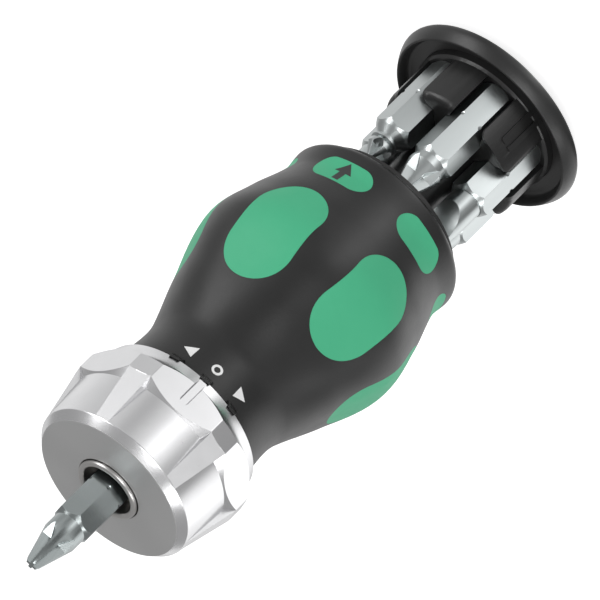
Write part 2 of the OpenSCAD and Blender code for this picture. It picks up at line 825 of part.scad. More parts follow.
module magazine_carrier() color([0.16, 0.16, 0.16]) {
    disc_top_z = cap_h;
    difference() {
        union() {
            rotate_extrude() polygon([
                [0, cap_floor_t],
                [carrier_disc_r, cap_floor_t],
                [carrier_disc_r, snap_z - 0.3],
                [carrier_disc_r + 0.25, snap_z],
                [carrier_disc_r, snap_z + 0.3],
                [carrier_disc_r, disc_top_z - edge],
                [carrier_disc_r - edge, disc_top_z],
                [0, disc_top_z]
            ]);
            // the fingers between the bits, with rounded top edges
            intersection() {
                translate([0, 0, disc_top_z - 0.5]) linear_extrude(finger_h + 0.5) difference() {
                    circle(r = carrier_r);
                    magazine_slots();
                }
                rotate_extrude() polygon(concat(
                    [[0, disc_top_z - 0.5], [carrier_r, disc_top_z - 0.5]],
                    [for (a = [0:15:90]) [
                        carrier_r - finger_round * (1 - cos(a)),
                        disc_top_z + finger_h - finger_round * (1 - sin(a))
                    ]],
                    [[0, disc_top_z + finger_h]]
                ));
            }
            key_finger();
            translate([0, 0, disc_top_z]) cylinder(r = column_r, h = column_top_z - disc_top_z - edge);
            translate([0, 0, column_top_z - edge]) cylinder(r1 = column_r, r2 = column_r - edge, h = edge);
        }
        translate([0, 0, cap_floor_t - over])
            cylinder(r = piston_bore_r, h = shoulder_z - cap_floor_t + over);
        translate([0, 0, shoulder_z - over])
            linear_extrude(neck_h + 2 * over) hexagon(rod_af + 2 * slide_gap);
    }
}

// The wider finger beside the index side, with a grooved rib
module key_finger() {
    key_r = carrier_r + 0.2;
    rotate([0, 0, mark_side - 30]) {
        intersection() {
            translate([0, 0, cap_h - 0.5]) linear_extrude(key_l + 0.5) difference() {
                circle(r = key_r);
                circle(r = key_r - key_t);
            }
            outward(0, key_r - 2, 3) translate([0, cap_h]) rounded(key_w, 2 * key_l, key_round);
        }
        difference() {
            outward(0, carrier_r - 1.5, 1.95) translate([0, cap_h + 0.4]) rounded(rib_w, 2 * rib_l, 0.4);
            outward(0, carrier_r + 0.2, over) translate([0, cap_h + 2]) bar(rib_groove_w, 2 * rib_l - 3);
            translate([0, 0, cap_h - rib_l - 1.5]) cylinder(r = carrier_r + 1, h = rib_l + 1);
        }
    }
}

module end_cap() color([0.14, 0.14, 0.14]) rotate_extrude() polygon(concat(
    // the flat end face and the shallow dome round it
    [[0, 0]],
    [for (i = [0:6]) let (t = i / 6) [
        cap_face_r + (cap_edge_r - cap_face_r) * t,
        cap_edge_z * pow(t, 1.5)
    ]],
    // the round edge, the two slopes of the rim and the recess
    [
        [cap_r - 0.3, cap_edge_z + 0.25],
        [cap_r - 0.07, cap_edge_z + 0.55],
        [cap_r, cap_wide_z],
        [cap_r - 0.1, cap_wide_z + 0.35],
        [rim_r + 0.55 * (cap_r - rim_r), cap_wide_z + 0.6 * (cap_h - cap_wide_z)],
        [rim_r, cap_h],
        [recess_r + 0.1, cap_h + rim_rise],
        [recess_r, cap_h + rim_rise - 0.1],
        [recess_r, cap_h - groove_depth],
        [carrier_disc_r + run_gap, cap_h - groove_depth],
        [carrier_disc_r + run_gap, snap_z + 0.35],
        [carrier_disc_r + 0.25 + run_gap, snap_z],
        [carrier_disc_r + run_gap, snap_z - 0.35],
        [carrier_disc_r + run_gap, cap_floor_t],
        [0, cap_floor_t]
    ]
));

// Bits. Each stands on its hexagonal end at z = 0 with its tip up

module bit_body(body_l) {
    intersection() {
        linear_extrude(bit_l) rotate(hex_turn) hexagon(bit_af);
        rotate_extrude() polygon([
            [0, 0],
            [bit_af / 2 - 0.2, 0],
            [bit_af / 2 + 0.6, 0.8],
            [bit_af / 2 + 0.6, body_l - 1],
            [bit_shank_r, body_l],
            [0, body_l]
        ]);
    }
}

// The notch near the rear end that a spring catches on the six edges
module bit_notch() {
    rotate_extrude() translate([bit_af / 2 + 1, notch_z]) circle(r = notch_r, $fn = 24);
}

module cross_tip(top_r, wing_r, point_l, body_l) {
    root_r = top_r * 0.5;
    flute_lean = atan2(bit_shank_r - root_r, point_l + 2);
    difference() {
        rotate_extrude() polygon([
            [0, body_l - 1],
            [bit_shank_r, body_l - 1],
            [bit_shank_r, body_l],
            [wing_r, bit_l - point_l],
            [top_r + 0.45, bit_l - 0.6],
            [top_r, bit_l],
            [0, bit_l]
        ]);
        // four V flutes that run out to the shank
        for (a = [45:90:315])
            rotate([0, 0, a]) translate([root_r, 0, bit_l]) rotate([0, -flute_lean, 0])
                rotate([0, 0, -45]) translate([0, 0, -point_l - 4])
                    cube([2 * bit_af, 2 * bit_af, point_l + 8]);
    }
}

module cross_bit(top_r, wing_r, point_l, body_l) {
    difference() {
        union() {
            bit_body(body_l);
            cross_tip(top_r, wing_r, point_l, body_l);
        }
        bit_notch();
    }
}

module slotted_bit(blade_w, blade_t) {
    body_l = bit_l - 10;
    difference() {
        union() {
            bit_body(body_l);
            translate([0, 0, body_l - 1]) cylinder(d = blade_w, h = bit_l - body_l + 1);
        }
        bit_notch();
        for (s = [-1, 1]) scale([1, s, 1])
            translate([0, blade_t / 2 + scoop_r, bit_l - 1.2]) rotate([0, 90, 0])
                cylinder(r = scoop_r, h = 3 * blade_w, center = true);
        for (s = [-1, 1])
            translate([-blade_w, s > 0 ? blade_t / 2 : -blade_t / 2 - bit_af, bit_l - 1.2])
                cube([2 * blade_w, bit_af, 2]);
    }
}

module star_bit(tip_d, body_l) {
    tip_l = 4;
    groove_d = tip_d * 0.28;
    difference() {
        union() {
            bit_body(body_l);
            rotate_extrude() polygon([
                [0, body_l - 1],
                [bit_shank_r, body_l - 1],
                [bit_shank_r, body_l + 1],
                [tip_d / 2, bit_l - tip_l],
                [tip_d / 2, bit_l - 0.2],
                [tip_d / 2 - 0.2, bit_l],
                [0, bit_l]
            ]);
        }
        bit_notch();
        for (a = [0:60:300])
            rotate([0, 0, a]) translate([tip_d * 0.52, 0, bit_l - tip_l - 0.7])
                cylinder(d = groove_d, h = tip_l + over);
    }
}

module stored(slot) {
    rotate([0, 0, slot_angles[slot]]) translate([pitch_r, 0, cap_h]) children();
}

module drive_bit() color([0.55, 0.6, 0.61])
    translate([0, 0, bit_seat_z]) rotate([0, 0, socket_turn]) cross_bit(0.75, 2.85, 6, bit_l - 9.2);

// The small cross bit is shorter than the others, and a groove and a collar stand behind its tip
module short_cross_bit(top_r, wing_r, body_l) {
    full_l = bit_l - short_by;
    collar_z = body_l + 1.5;
    root_r = top_r * 0.5;
    tip_l = full_l - collar_z - 1;
    difference() {
        union() {
            bit_body(body_l);
            rotate_extrude() polygon([
                [0, body_l - 1],
                [bit_shank_r, body_l - 1],
                [bit_shank_r, body_l],
                [neck_groove_r, collar_z - 0.4],
                [neck_groove_r, collar_z],
                [neck_collar_r, collar_z],
                [neck_collar_r, collar_z + 0.5],
                [neck_groove_r, collar_z + 0.7],
                [wing_r, collar_z + 1],
                [wing_r, full_l - tip_l * 0.75],
                [top_r, full_l],
                [0, full_l]
            ]);
        }
        bit_notch();
        for (a = [45:90:315])
            rotate([0, 0, a]) translate([root_r, 0, full_l])
                rotate([0, -atan2(wing_r - root_r, tip_l), 0]) rotate([0, 0, -45])
                    translate([0, 0, -tip_l]) cube([2 * bit_af, 2 * bit_af, tip_l + over]);
    }
}

module bit_cross_small() color([0.62, 0.65, 0.66]) stored(small_cross_slot)
    short_cross_bit(0.5, 2.15, bit_l - 9.5);

module bit_cross_large() color([0.62, 0.65, 0.66]) stored(large_cross_slot)
    cross_bit(0.9, 3.1, 6.5, bit_l - 8);

module bit_slotted() color([0.62, 0.65, 0.66]) stored(slotted_slot)
    slotted_bit(5.5, 0.8);

module bit_star_large() color([0.62, 0.65, 0.66]) stored(large_star_slot)
    star_bit(4.4, bit_l - 9);

module bit_star_small() color([0.62, 0.65, 0.66]) stored(small_star_slot)
    star_bit(3.3, bit_l - 10);

handle_core();
soft_grip();
belly_pad(0);  // belly_pad_1
belly_pad(1);  // belly_pad_2
belly_pad(2);  // belly_pad_3
belly_pad(3);  // belly_pad_4
belly_pad(4);  // belly_pad_5
belly_pad(5);  // belly_pad_6
rear_pad(0);  // rear_pad_1
rear_pad(1);  // rear_pad_2
rear_pad(2);  // rear_pad_3
rear_pad(3);  // rear_pad_4
rear_pad(4);  // rear_pad_5
rear_pad(5);  // rear_pad_6
selector_ring();
cam_plate();
ring_clip();
detent_spring();
ratchet_housing();
cover_plate();
cover_screws();
pawl();  // pawl_right
mirror([1, 0, 0]) pawl();  // pawl_left
pawl_pin();  // pawl_pin_right
mirror([1, 0, 0]) pawl_pin();  // pawl_pin_left
pawl_spring();  // pawl_spring_right
mirror([1, 0, 0]) pawl_spring();  // pawl_spring_left
spindle();
ratchet_gear();
socket_magnet();
spindle_clip();
drive_bit();
guide_rod();
guide_piston();
friction_ring();
guide_screw();
magazine_carrier();
end_cap();
bit_cross_small();
bit_cross_large();
bit_slotted();
bit_star_large();
bit_star_small();
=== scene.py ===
import json
import math
import bmesh
import bpy
from mathutils import Matrix, Vector


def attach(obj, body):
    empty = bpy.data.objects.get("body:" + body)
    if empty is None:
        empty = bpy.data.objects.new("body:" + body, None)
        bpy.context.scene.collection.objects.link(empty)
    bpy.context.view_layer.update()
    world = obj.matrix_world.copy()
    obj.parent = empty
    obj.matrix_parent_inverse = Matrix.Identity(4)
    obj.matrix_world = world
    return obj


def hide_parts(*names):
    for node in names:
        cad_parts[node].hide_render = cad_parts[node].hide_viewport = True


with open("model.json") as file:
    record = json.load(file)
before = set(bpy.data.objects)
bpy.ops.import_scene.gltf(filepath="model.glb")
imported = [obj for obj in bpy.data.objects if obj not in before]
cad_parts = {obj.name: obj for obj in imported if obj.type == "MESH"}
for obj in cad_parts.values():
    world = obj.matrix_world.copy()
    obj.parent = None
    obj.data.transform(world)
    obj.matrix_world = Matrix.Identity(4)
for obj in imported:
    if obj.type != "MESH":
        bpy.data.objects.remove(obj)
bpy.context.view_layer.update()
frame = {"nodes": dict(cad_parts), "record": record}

MM = 0.001
nodes = frame["nodes"]

# Measures of the tool in millimetres and degrees, as in its drawing
HANDLE_REAR = 30.7
HANDLE_FRONT = 80.7
BELLY = 52.7
SKIN = 2.0
SKIN_GAP = 0.02
CORE_REAR_R = 14.05
LOBE_REAR, LOBE_FRONT, LOBE_DEPTH = 43, 73, 0.7
REAR_PAD_Z = HANDLE_REAR + 6.8
CARRIER_DISC_R = 13.05
RING_REAR = 81.0
RING_FRONT = 98.3
COLLAR_R = 15.2
COLLAR_TOP = 87.3
FLUTE_TOP = 96.9
SIXTH = 60
INDEX_SIDE = -90
PAD_SIDE = INDEX_SIDE + SIXTH / 2
SELECTOR_TURN = 24
CHUCK_Z = 92
CHUCK_TURN = -3.5
CHUCK_FLAT_R = 3.225
BIT_FLAT_R = 3.175
BIT_PLACE_R, BIT_PLACE_Z = 9, 6
BIT_L = 25.0
SHANK_R = 2.9


# Small helpers of the workshop

def deselect():
    if bpy.context.object and bpy.context.object.mode == "EDIT":
        bpy.ops.object.mode_set(mode="OBJECT")
    bpy.ops.object.select_all(action="DESELECT")


def only(piece):
    deselect()
    piece.select_set(True)
    bpy.context.view_layer.objects.active = piece


def added(name):
    piece = bpy.context.object
    piece.name = name
    piece.data.name = name
    return piece


def edit(piece, kind="VERT", start="DESELECT"):
    only(piece)
    bpy.ops.object.mode_set(mode="EDIT")
    bpy.ops.mesh.select_mode(type=kind)
    bpy.ops.mesh.select_all(action=start)


def edit_all(piece):
    edit(piece, start="SELECT")


def leave():
    bpy.ops.object.mode_set(mode="OBJECT")


def pick(piece, test, kind="verts"):
    """Selects the vertices, edges or faces of the piece in edit mode whose middle passes the test."""
    mesh = bmesh.from_edit_mesh(piece.data)
    for part in getattr(mesh, kind):
        if kind == "verts":
            middle = part.co
        elif kind == "edges":
            middle = (part.verts[0].co + part.verts[1].co) / 2
        else:
            middle = part.calc_center_median()
        part.select_set(bool(test(piece.matrix_world @ middle, part)))
    mesh.select_flush_mode()
    bmesh.update_edit_mesh(piece.data)


def upright(edge):
    return abs(edge.verts[0].co.z - edge.verts[1].co.z) > MM


def settle(piece):
    only(piece)
    bpy.ops.object.transform_apply(location=True, rotation=True, scale=True)


def turn_round(piece, angle):
    """Turns a piece about the tool's axis by some degrees."""
    piece.matrix_world = Matrix.Rotation(math.radians(angle), 4, "Z") @ piece.matrix_world
    settle(piece)


def tidy(piece, gap=0.002):
    """Merges doubles and turns every face outwards."""
    edit_all(piece)
    bpy.ops.mesh.remove_doubles(threshold=gap * MM)
    bpy.ops.mesh.normals_make_consistent(inside=False)
    leave()


def apply_all(piece):
    only(piece)
    for m in list(piece.modifiers):
        bpy.ops.object.modifier_apply(modifier=m.name)


def combine(piece, tool, how):
    """Cuts, joins or crosses the piece with a tool shape, which is used up."""
    m = piece.modifiers.new("shape", "BOOLEAN")
    m.operation = how
    m.solver = "EXACT"
    m.object = tool
    apply_all(piece)
    bpy.data.objects.remove(tool)


def combine_flat(piece, tool, how):
    """The same, with all faces cut to triangles first, so that none is warped."""
    for shape in (piece, tool):
        edit_all(shape)
        bpy.ops.mesh.quads_convert_to_tris()
        leave()
    combine(piece, tool, how)
    tidy(piece, 0.0005)


def copied(piece, turn=0.0):
    """A copy with its own mesh, turned about the tool's axis by some degrees."""
    twin = piece.copy()
    twin.data = piece.data.copy()
    bpy.context.scene.collection.objects.link(twin)
    if turn:
        turn_round(twin, turn)
    return twin


def smooth(piece, angle=35):
    only(piece)
    bpy.ops.object.shade_smooth_by_angle(angle=math.radians(angle))


def soften(piece, width, angle=30, segments=2, flat_angle=22):
    """Breaks the hard edges of a piece, and keeps the surfaces beside them as they are shaded."""
    smooth(piece, flat_angle)
    m = piece.modifiers.new("edges", "BEVEL")
    m.width = width * MM
    m.segments = segments
    m.limit_method = "ANGLE"
    m.angle_limit = math.radians(angle)
    m.harden_normals = True
    m.miter_outer = "MITER_ARC"
    apply_all(piece)


def even_shading(piece, angle):
    """Lets the large faces of a piece look flat, and the narrow ones between them round."""
    smooth(piece, angle)
    m = piece.modifiers.new("shading", "WEIGHTED_NORMAL")
    m.keep_sharp = True
    apply_all(piece)


def seat(piece, body, slot, *stands_for, look=None):
    """Gives a finished piece its finish and its body, and hides the nodes that it stands for."""
    piece.data.materials.clear()
    piece.data.materials.append(finishes[look or slot])
    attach(piece, body)
    if stands_for:
        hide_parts(*stands_for)
    return piece


# Basic shapes, by millimetres and degrees

def box(name, size, place):
    deselect()
    bpy.ops.mesh.primitive_cube_add(size=1, scale=[s * MM for s in size], location=[p * MM for p in place])
    return added(name)


def rod(name, sides, radius, length, place=(0, 0, 0), tilt=(0, 0, 0)):
    deselect()
    bpy.ops.mesh.primitive_cylinder_add(vertices=sides, radius=radius * MM, depth=length * MM,
                                        location=[p * MM for p in place],
                                        rotation=[math.radians(a) for a in tilt])
    return added(name)


def prism(name, sides, radius, low, high, turn=0.0):
    """A bar of some sides that stands on the tool's axis."""
    piece = rod(name, sides, radius, high - low, (0, 0, (low + high) / 2), (0, 0, turn))
    settle(piece)
    return piece


def corner_r(flat_r):
    """The radius of a hexagon's corners, by the distance of its flats from the middle."""
    return flat_r / math.cos(math.radians(30))


def grown(name, outline, segments=128, solid=True):
    """A round shape grown from a circle, ring by ring; the outline is a list of radius and height."""
    deselect()
    r, z = outline[0]
    bpy.ops.mesh.primitive_circle_add(vertices=segments, radius=r * MM, location=(0, 0, z * MM))
    piece = added(name)
    settle(piece)
    edit(piece, "EDGE", "SELECT")
    if solid:
        bpy.ops.mesh.edge_face_add()
        bpy.ops.mesh.select_all(action="SELECT")
        bpy.ops.mesh.select_mode(type="FACE")
    for r2, z2 in outline[1:]:
        if solid:
            bpy.ops.mesh.extrude_region()
        else:
            bpy.ops.mesh.extrude_edges_indiv()
        bpy.ops.transform.translate(value=(0, 0, (z2 - z) * MM))
        bpy.ops.transform.resize(value=(r2 / r, r2 / r, 1), center_override=(0, 0, z2 * MM))
        r, z = r2, z2
    leave()
    tidy(piece)
    return piece


def smooth_line(points, steps):
    """A smooth line through points of height and radius, as radius and height."""
    def slope(i):
        a, b = max(i - 1, 0), min(i + 1, len(points) - 1)
        return (points[b][1] - points[a][1]) / (points[b][0] - points[a][0])
    line = []
    for i in range(len(points) - 1):
        (z0, r0), (z1, r1) = points[i], points[i + 1]
        for s in range(steps):
            t = s / steps
            r = (r0 * (2 * t**3 - 3 * t**2 + 1) + r1 * (3 * t**2 - 2 * t**3)
                 + (z1 - z0) * (slope(i) * (t**3 - 2 * t**2 + t) + slope(i + 1) * (t**3 - t**2)))
            line.append((r, z0 + (z1 - z0) * t))
    line.append((points[-1][1], points[-1][0]))
    return line


# Finishes

def feed(tree, to_node, inputs):
    """Gives each named or numbered input of a shader node a value, or another node's output."""
    for key, value in inputs.items():
        socket = to_node.inputs[key]
        if isinstance(value, bpy.types.NodeSocket):
            tree.links.new(value, socket)
        else:
            socket.default_value = value


def add_node(tree, kind, inputs=None, **settings):
    made = tree.nodes.new("ShaderNode" + kind)
    for name, value in settings.items():
        setattr(made, name, value)
    feed(tree, made, inputs or {})
    return made


finishes = {}


def finish(name, colour, metallic, roughness, spread=0.05, scale=400.0, dent=0.0, stretch=(1, 1, 1), tint=None,
           specular=0.5):
    """A surface whose gloss, colour and fine relief vary as the real one's do."""
    material = bpy.data.materials.new(name)
    material.use_nodes = True
    tree = material.node_tree
    shader = tree.nodes["Principled BSDF"]
    place = add_node(tree, "TexCoord")
    shift = add_node(tree, "Mapping", {"Vector": place.outputs["Object"], "Scale": stretch})
    cloud = add_node(tree, "TexNoise", {"Vector": shift.outputs["Vector"], "Scale": scale, "Detail": 5})
    gloss = add_node(tree, "MapRange", {"Value": cloud.outputs["Fac"], "To Min": max(roughness - spread, 0.02),
                                        "To Max": roughness + spread})
    amount = add_node(tree, "MapRange", {"Value": cloud.outputs["Fac"], "From Min": 0.4, "From Max": 0.75,
                                         "To Max": 0.15})
    stain = tint or [c * 0.8 for c in colour]
    paint = add_node(tree, "Mix", {"Factor": amount.outputs["Result"], "A": (*colour, 1), "B": (*stain, 1)},
                     data_type="RGBA")
    feed(tree, shader, {"Metallic": metallic, "Specular IOR Level": specular,
                        "Roughness": gloss.outputs["Result"], "Base Color": paint.outputs["Result"]})
    if dent:
        grain = add_node(tree, "TexNoise", {"Vector": shift.outputs["Vector"], "Scale": 2500.0, "Detail": 2})
        relief = add_node(tree, "Bump", {"Height": grain.outputs["Fac"], "Strength": dent, "Distance": 0.00005})
        feed(tree, shader, {"Normal": relief.outputs["Normal"]})
    finishes[name] = material


finish("black_core", (0.015, 0.015, 0.015), 0, 0.5, dent=0.2)
finish("black_skin", (0.013, 0.013, 0.013), 0, 0.38, dent=0.2, specular=0.45)
finish("green_pads", (0.065, 0.44, 0.235), 0, 0.5, tint=(0.05, 0.40, 0.21), dent=0.2, specular=0.3)
finish("satin_chrome", (0.72, 0.72, 0.73), 1, 0.26, spread=0.03, scale=260, dent=0.02)
finish("black_cap", (0.016, 0.016, 0.016), 0, 0.38, dent=0.2)
finish("black_clip", (0.014, 0.014, 0.014), 0, 0.36, dent=0.2)
finish("bit_steel", (0.48, 0.51, 0.51), 1, 0.31, spread=0.06, scale=600, stretch=(1, 1, 0.12), dent=0.08)
# the drive bit's copy of the bits' steel: its darker colour is painted shade
finish("bit_steel_painted_shade", (0.33, 0.36, 0.36), 1, 0.24, spread=0.05, scale=600, stretch=(1, 1, 0.12), dent=0.08)
finish("spindle_steel", (0.55, 0.54, 0.53), 1, 0.3, stretch=(1, 1, 8))
finish("dark_steel", (0.25, 0.25, 0.26), 1, 0.4)
finish("spring_steel", (0.42, 0.42, 0.45), 1, 0.3)
finish("zinc_plate", (0.62, 0.63, 0.65), 1, 0.35)
finish("bright_pin", (0.68, 0.68, 0.7), 1, 0.22)
finish("magnet_nickel", (0.7, 0.7, 0.7), 1, 0.25)
finish("brass_piston", (0.7, 0.56, 0.3), 1, 0.3)
finish("ring_rubber", (0.02, 0.02, 0.02), 0, 0.7)
finish("white_print", (0.8, 0.8, 0.8), 0, 0.5)
finish("black_print", (0.03, 0.03, 0.03), 0, 0.45)


def matt_above(material, height, colour, roughness):
    """Makes a finish darker and matt above a height of the tool, where the face was left rough."""
    tree = material.node_tree
    shader = tree.nodes["Principled BSDF"]
    apart = add_node(tree, "SeparateXYZ", {"Vector": tree.nodes["Texture Coordinate"].outputs["Object"]})
    above = add_node(tree, "MapRange", {"Value": apart.outputs["Z"], "From Min": (height - 0.03) * MM,
                                        "From Max": (height + 0.03) * MM})
    paint = add_node(tree, "Mix", {"A": shader.inputs["Base Color"].links[0].from_socket, "B": (*colour, 1),
                                   "Factor": above.outputs["Result"]}, data_type="RGBA")
    gloss = add_node(tree, "Mix", {"A": shader.inputs["Roughness"].links[0].from_socket, "B": roughness,
                                   "Factor": above.outputs["Result"]})
    feed(tree, shader, {"Base Color": paint.outputs["Result"], "Roughness": gloss.outputs["Result"]})


matt_above(finishes["satin_chrome"], RING_FRONT - 0.08, (0.62, 0.62, 0.62), 0.55)
slots = {part["node"]: part["material_slot"] for part in frame["record"]["subparts"]}
for node, piece in nodes.items():
    piece.data.materials.clear()
    piece.data.materials.append(finishes[slots[node]])


# Camera: level with the photograph's, rolled so that the bit points to the lower left

def put_camera():
    turn, rise, roll = math.radians(-95.5), math.radians(29.1), math.radians(134.6)
    far, width, aim_z, sensor = 2.0, 92.7 * MM, 51.3 * MM, 36
    aim = Vector((0, 0, aim_z))
    back = Vector((math.cos(rise) * math.cos(turn), math.cos(rise) * math.sin(turn), math.sin(rise)))
    side = Vector((0, 0, 1)).cross(back).normalized()
    top = back.cross(side)
    right = math.cos(roll) * side - math.sin(roll) * top
    up = math.sin(roll) * side + math.cos(roll) * top
    deselect()
    bpy.ops.object.camera_add()
    camera = bpy.context.object
    camera.matrix_world = Matrix.Translation(aim + far * back) @ Matrix((right, up, back)).transposed().to_4x4()
    camera.data.sensor_width = sensor
    camera.data.lens = sensor * far / width
    camera.data.clip_end = 20
    bpy.context.scene.camera = camera


put_camera()


# Handle: soft skin with its pads let in

def handle_outline(edge_steps, steps):
    rear = [(14.25 + 2.05 * math.sin(a), HANDLE_REAR + 1.2 + 1.5 * (1 - math.cos(a)))
            for a in (math.pi / 2 * s / edge_steps for s in range(edge_steps))]
    return rear + smooth_line([
        (HANDLE_REAR + 2.7, 16.3),
        (HANDLE_REAR + 6.6, 16.1),
        (HANDLE_REAR + 14, 18.225),
        (BELLY, 19.93),
        (BELLY + 9.8, 16.925),
        (BELLY + 18.7, 13.4),
        (HANDLE_FRONT - 6, 12.9),
        (HANDLE_FRONT, 13.4)], steps)


skin_line = handle_outline(8, 9)


def skin_r(z):
    """The radius of the handle at a height, as if it were round."""
    for (r0, z0), (r1, z1) in zip(skin_line, skin_line[1:]):
        if z0 <= z <= z1:
            return r0 + (r1 - r0) * (z - z0) / (z1 - z0)


def skin_shell(name):
    inner = [(max(r - SKIN, CORE_REAR_R if z < BELLY else 0) + SKIN_GAP, z) for r, z in handle_outline(1, 2)]
    shell = grown(name, skin_line + inner[::-1], 160, solid=False)
    edit(shell, "EDGE")
    bpy.ops.mesh.select_non_manifold()
    bpy.ops.mesh.bridge_edge_loops()
    leave()
    tidy(shell)
    # the belly swells into six broad lobes, with shallow hollows between them for the fingers
    mesh = bmesh.new()
    mesh.from_mesh(shell.data)
    for vert in mesh.verts:
        z, r = vert.co.z / MM, math.hypot(vert.co.x, vert.co.y) / MM
        if LOBE_REAR < z < LOBE_FRONT and r > skin_r(z) - 0.5:
            along = math.sin(math.pi * (z - LOBE_REAR) / (LOBE_FRONT - LOBE_REAR)) ** 2
            round_about = (1 - math.cos(6 * (math.atan2(vert.co.y, vert.co.x) - math.radians(INDEX_SIDE)))) / 2
            vert.co.xy *= 1 - LOBE_DEPTH * along * round_about / r
    mesh.to_mesh(shell.data)
    mesh.free()
    return shell


def pad_tool(width, length, angle, height, grow=0.0):
    """A bar with round ends that points outwards."""
    across, along = width + grow, length + grow
    sides, reach = 64, 16.2
    tool = rod("pad_tool", sides, min(across, along) / 2, 9, tilt=(0, 0, 180 / sides))
    settle(tool)
    edit(tool)
    axis = 1 if along > across else 0
    pick(tool, lambda p, v: p[axis] > 0)
    move = [0, 0, 0]
    move[axis] = (max(across, along) - min(across, along)) * MM
    bpy.ops.transform.translate(value=move)
    leave()
    tool.matrix_world = (Matrix.Rotation(math.radians(angle), 4, "Z")
                         @ Matrix.Translation((reach * MM, 0, height * MM))
                         @ Matrix.Rotation(math.radians(90), 4, "Z") @ Matrix.Rotation(math.radians(90), 4, "X")
                         @ Matrix.Translation([-m / 2 for m in move]))
    settle(tool)
    return tool


pad_rows = [("belly_pad", 12.0, 19.0, BELLY + 1), ("rear_pad", 10.5, 5.0, REAR_PAD_Z)]
skin = skin_shell("grip_skin")
for name, width, length, height in pad_rows:
    for i in range(6):
        combine(skin, pad_tool(width, length, PAD_SIDE + SIXTH * i, height, 0.04), "DIFFERENCE")
smooth(skin)
seat(skin, "handle", "black_skin", "soft_grip")
for name, width, length, height in pad_rows:
    first = skin_shell(name)
    combine(first, pad_tool(width, length, PAD_SIDE, height), "INTERSECT")
    smooth(first)
    for i in range(6):
        pad = copied(first, SIXTH * i) if i else first
        pad.name = f"{name}_inlay_{i + 1}"
        seat(pad, "handle", "green_pads", f"{name}_{i + 1}")


# Nibs on the handle's front edge, one for each place of the ring

def nib(turn):
    """A bar that leans out from the front edge over the ring's rear chamfer, and grows thinner to its end."""
    piece = box("direction_nib", (1, 2.3, 0.8), (13.2, 0, HANDLE_FRONT - 0.5))
    settle(piece)
    edit(piece, "FACE")
    pick(piece, lambda p, f: p.x > 13.65 * MM, "faces")
    bpy.ops.mesh.extrude_region_move(TRANSFORM_OT_translate={"value": (1.15 * MM, 0, 0.9 * MM)})
    bpy.ops.transform.resize(value=(1, 0.8, 0.5))
    leave()
    turn_round(piece, turn)
    tidy(piece)
    soften(piece, 0.13, 30, 3)
    seat(piece, "handle", "black_skin")


for step in (-1, 0, 1):
    nib(INDEX_SIDE + step * SELECTOR_TURN)


# Signs for the ring's places and for pulling the magazine, printed as a thin film on the skin

def sign(name, corners, turn, height, look, slot, rim=0):
    """A flat sign of some corners, laid on the round skin: across and along, in millimetres."""
    film = 0.012
    deselect()
    bpy.ops.mesh.primitive_circle_add(vertices=len(corners), radius=MM, fill_type="NGON")
    piece = added(name)
    mesh = bmesh.new()
    mesh.from_mesh(piece.data)
    mesh.verts.ensure_lookup_table()
    for vert, (across, along) in zip(mesh.verts, corners):
        vert.co = (across * MM, along * MM, 0)
    mesh.to_mesh(piece.data)
    mesh.free()
    edit_all(piece)
    if rim:
        bpy.ops.mesh.inset(thickness=rim * MM)
        bpy.ops.mesh.delete(type="FACE")
        bpy.ops.mesh.select_all(action="SELECT")
    bpy.ops.mesh.quads_convert_to_tris()
    bpy.ops.mesh.subdivide(number_cuts=5)
    mesh = bmesh.from_edit_mesh(piece.data)
    for vert in mesh.verts:
        z = height + vert.co.y / MM
        r = skin_r(z) + film
        angle = math.radians(turn) + vert.co.x / MM / r
        vert.co = (r * math.cos(angle) * MM, r * math.sin(angle) * MM, z * MM)
    bmesh.update_edit_mesh(piece.data)
    leave()
    smooth(piece, 60)
    seat(piece, "handle", slot, look=look)


turn_mark_z = HANDLE_FRONT - 3.3
for side in (-1, 1):
    sign("turn_sign", [(-side * 1.05, -1.15), (side * 1.15, 0), (-side * 1.05, 1.15)],
         INDEX_SIDE + side * SELECTOR_TURN, turn_mark_z, "white_print", "black_skin")
lock = [(0.95 * math.cos(math.radians(a)), 0.95 * math.sin(math.radians(a))) for a in range(0, 360, 15)]
sign("lock_sign", lock, INDEX_SIDE, turn_mark_z, "white_print", "black_skin", 0.42)
sign("pull_sign", [(-1.6, 0), (0, -2.2), (1.6, 0), (0.6, 0), (0.6, 2), (-0.6, 2), (-0.6, 0)],
     PAD_SIDE, REAR_PAD_Z, "black_print", "green_pads")


# End cap: a shallow dome, a rim with a crisp inner line and the recess of the magazine's disc

dome = [(9, 0), (9.4, 0.02)] + [(9 + 7.7 * t, 3.1 * t ** 1.5) for t in (0.12, 0.25, 0.4, 0.55, 0.7, 0.85, 1)]
rim = [(16.93, 3.23), (17.12, 3.38), (17.26, 3.55), (17.35, 3.75), (17.4, 4.05), (17.37, 4.35), (17.28, 4.65),
       (17.1, 5.1), (16.87, 5.55), (16.55, 6.08), (16.47, 6.2), (16.38, 6.27), (16.28, 6.28), (16.18, 6.22),
       (16.05, 6.0), (15.7, 5.1), (15.5, 4.62), (15.3, 4.45), (15.0, 4.4)]
recess = [(CARRIER_DISC_R, 4.4), (CARRIER_DISC_R, 3.65), (CARRIER_DISC_R + 0.25, 3.3), (CARRIER_DISC_R, 2.95),
          (CARRIER_DISC_R, 2.2)]
cap = grown("cap_shell", dome + rim + recess, 160)
smooth(cap, 40)
seat(cap, "magazine", "black_cap", "end_cap")


# Selector ring: collar, flutes and the lands between them

